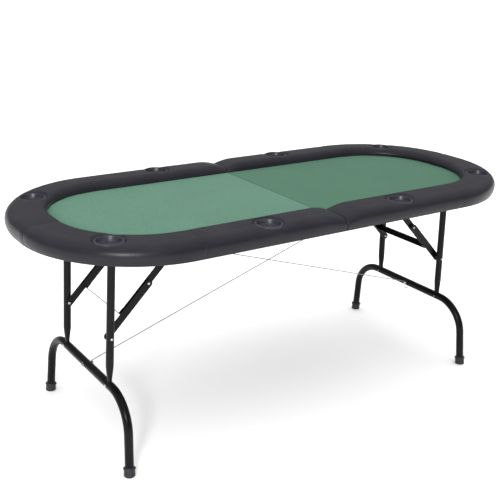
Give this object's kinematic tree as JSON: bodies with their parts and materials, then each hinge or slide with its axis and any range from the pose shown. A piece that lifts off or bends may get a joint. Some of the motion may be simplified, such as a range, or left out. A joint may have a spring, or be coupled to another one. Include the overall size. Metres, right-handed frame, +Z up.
{
  "type": "folding poker table",
  "caption": "Long rounded card table in two hinged halves with a padded rail, cup holders, a green cloth field and two folding wishbone leg frames.",
  "frame": {"origin": "on the floor under the middle of the table, in the fold's plane", "axes": "+X along the table's length, +Y across it towards the far rail, +Z up"},
  "size_m": [1.864, 0.821, 0.76],
  "materials": {
    "board": "raw fibreboard",
    "felt": "short-nap green cloth",
    "foam": "foam",
    "vinyl": "grained black vinyl",
    "cup": "moulded black",
    "black_steel": "semi-gloss black powder coat",
    "foot_rubber": "moulded",
    "zinc": "bright zinc plate",
    "rod": "drawn wire"
  },
  "bodies": {
    "left_top": {"left_base_board": "board", "left_play_board": "board", "left_felt": "felt", "left_rail_foam": "foam", "left_rail_cover": "vinyl", "left_cup_mid_near": "cup", "left_cup_mid_far": "cup", "left_cup_end_near": "cup", "left_cup_end_far": "cup", "left_leg_brackets": "black_steel", "left_leg_hinge_pins": "zinc", "left_brace_brackets": "black_steel", "left_brace_pins": "zinc", "left_stay_bracket": "zinc", "left_fold_leaves": "black_steel", "left_screws": "zinc", "fold_pins": "zinc"},
    "left_leg": {"left_leg_posts": "black_steel", "left_foot_tube": "black_steel", "left_foot_caps": "foot_rubber", "left_post_rivets": "zinc", "left_saddle_rivets": "zinc", "left_stay_bolt": "zinc", "left_stay_nut": "zinc"},
    "left_lower_links": {"left_lower_links": "black_steel", "left_link_rivets": "zinc"},
    "left_upper_links": {"left_upper_links": "black_steel", "left_link_studs": "zinc", "left_cross_strap": "black_steel"},
    "left_stay": {"left_stay_rod": "rod"},
    "right_top": {"right_base_board": "board", "right_play_board": "board", "right_felt": "felt", "right_rail_foam": "foam", "right_rail_cover": "vinyl", "right_cup_mid_near": "cup", "right_cup_mid_far": "cup", "right_cup_end_near": "cup", "right_cup_end_far": "cup", "right_leg_brackets": "black_steel", "right_leg_hinge_pins": "zinc", "right_brace_brackets": "black_steel", "right_brace_pins": "zinc", "right_stay_bracket": "zinc", "right_fold_leaves": "black_steel", "right_screws": "zinc"},
    "right_leg": {"right_leg_posts": "black_steel", "right_foot_tube": "black_steel", "right_foot_caps": "foot_rubber", "right_post_rivets": "zinc", "right_saddle_rivets": "zinc", "right_stay_bolt": "zinc", "right_stay_nut": "zinc"},
    "right_lower_links": {"right_lower_links": "black_steel", "right_link_rivets": "zinc"},
    "right_upper_links": {"right_upper_links": "black_steel", "right_link_studs": "zinc", "right_cross_strap": "black_steel"},
    "right_stay": {"right_stay_rod": "rod"}
  },
  "joints": [
    {"name": "centre_fold", "type": "hinge", "parent": "left_top", "child": "right_top", "pos_m": [0, 0, 0.658], "axis": [0, 1, 0], "range_deg": [0, 90], "deforming": ["left_stay_rod", "right_stay_rod"]},
    {"name": "left_leg_fold", "type": "hinge", "parent": "left_top", "child": "left_leg", "pos_m": [-0.703, 0, 0.68], "axis": [0, -1, 0], "range_deg": [0, 92.41]},
    {"name": "right_leg_fold", "type": "hinge", "parent": "right_top", "child": "right_leg", "pos_m": [0.703, 0, 0.68], "axis": [0, 1, 0], "range_deg": [0, 92.41]},
    {"name": "left_lower_link_pivot", "type": "hinge", "parent": "left_leg", "child": "left_lower_links", "pos_m": [-0.71478, 0, 0.4], "axis": [0, -1, 0], "range_deg": [0, 42.06]},
    {"name": "left_upper_link_pivot", "type": "hinge", "parent": "left_top", "child": "left_upper_links", "pos_m": [-0.44, 0, 0.68], "axis": [0, 1, 0], "range_deg": [0, 45.55]},
    {"name": "left_stay_swing", "type": "hinge", "parent": "left_top", "child": "left_stay", "pos_m": [-0.68, -0.003, 0.69], "axis": [0, -1, 0], "range_deg": [0, 15.33]},
    {"name": "right_lower_link_pivot", "type": "hinge", "parent": "right_leg", "child": "right_lower_links", "pos_m": [0.71478, 0, 0.4], "axis": [0, 1, 0], "range_deg": [0, 42.06]},
    {"name": "right_upper_link_pivot", "type": "hinge", "parent": "right_top", "child": "right_upper_links", "pos_m": [0.44, 0, 0.68], "axis": [0, -1, 0], "range_deg": [0, 45.55]},
    {"name": "right_stay_swing", "type": "hinge", "parent": "right_top", "child": "right_stay", "pos_m": [0.68, 0.003, 0.69], "axis": [0, 1, 0], "range_deg": [0, 15.33]}
  ],
  "couplings": [
    {"joint": "left_lower_link_pivot", "follows": "left_leg_fold", "ratio": 0.45507},
    {"joint": "left_upper_link_pivot", "follows": "left_leg_fold", "ratio": 0.49281},
    {"joint": "left_stay_swing", "follows": "right_leg_fold", "ratio": 0.16577},
    {"joint": "right_lower_link_pivot", "follows": "right_leg_fold", "ratio": 0.45507},
    {"joint": "right_upper_link_pivot", "follows": "right_leg_fold", "ratio": 0.49281},
    {"joint": "right_stay_swing", "follows": "left_leg_fold", "ratio": 0.16577}
  ]
}
